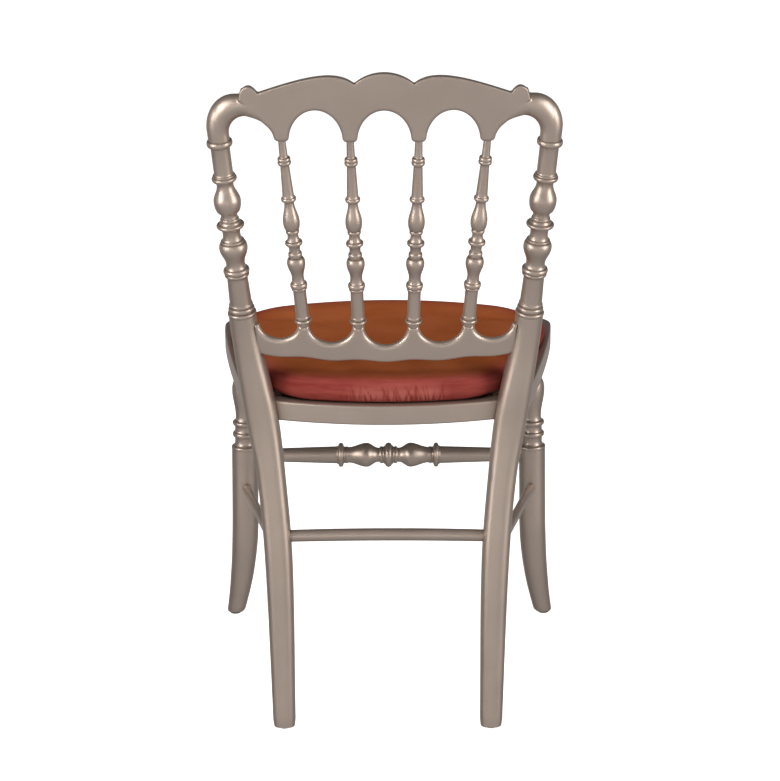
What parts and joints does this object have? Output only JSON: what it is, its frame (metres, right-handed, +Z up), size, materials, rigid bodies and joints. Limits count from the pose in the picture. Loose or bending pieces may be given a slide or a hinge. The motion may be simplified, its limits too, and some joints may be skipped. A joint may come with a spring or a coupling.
{
  "type": "dining chair",
  "caption": "Painted wooden side chair with turned posts and spindles, a scalloped crest rail, sabre legs and a lift-off upholstered seat pad.",
  "frame": {"origin": "on the floor, under the middle of the chair's box", "axes": "+Z up, the sitter faces -Y, and the sitter's left is +X"},
  "size_m": [0.4854, 0.4922, 0.8929],
  "materials": {
    "pewter_paint": "satin metallic paint on turned wood",
    "plywood": "dark stained plywood",
    "beech": "raw beech",
    "steel": "zinc plated",
    "black_plastic": "moulded",
    "black_cloth": "matt woven",
    "rust_cover": "short pile upholstery cloth with a soft sheen",
    "foam": "open cell foam"
  },
  "bodies": {
    "chair": {"rear_leg_left": "pewter_paint", "rear_leg_right": "pewter_paint", "crest_rail": "pewter_paint", "lower_back_rail": "pewter_paint", "spindle_1": "pewter_paint", "spindle_2": "pewter_paint", "spindle_3": "pewter_paint", "spindle_4": "pewter_paint", "front_leg_left": "pewter_paint", "front_leg_right": "pewter_paint", "rear_seat_rail": "pewter_paint", "front_seat_rail": "pewter_paint", "side_seat_rail_left": "pewter_paint", "side_seat_rail_right": "pewter_paint", "front_stretcher": "pewter_paint", "rear_stretcher": "pewter_paint", "side_stretcher_left": "pewter_paint", "side_stretcher_right": "pewter_paint", "seat_panel": "plywood", "rail_dowel_left_1": "beech", "rail_dowel_left_2": "beech", "rail_dowel_right_1": "beech", "rail_dowel_right_2": "beech", "corner_block_front_left": "beech", "corner_block_front_right": "beech", "corner_block_rear_left": "beech", "corner_block_rear_right": "beech", "panel_screw_front_left": "steel", "panel_screw_front_right": "steel", "panel_screw_rear_left": "steel", "panel_screw_rear_right": "steel", "hook_patch_front_left": "black_cloth", "hook_patch_front_right": "black_cloth", "hook_patch_rear_left": "black_cloth", "hook_patch_rear_right": "black_cloth", "front_glide_left": "black_plastic", "front_glide_right": "black_plastic", "rear_glide_left": "black_plastic", "rear_glide_right": "black_plastic"},
    "seat_pad": {"pad_cover": "rust_cover", "pad_foam": "foam", "pad_board": "plywood", "pad_bottom_cloth": "black_cloth", "loop_patch_front_left": "black_cloth", "loop_patch_front_right": "black_cloth", "loop_patch_rear_left": "black_cloth", "loop_patch_rear_right": "black_cloth"}
  },
  "joints": [
    {"name": "pad_lift", "type": "slide", "parent": "chair", "child": "seat_pad", "axis": [0, -0.7071, 0.7071], "range_m": [0, 0.6]}
  ]
}
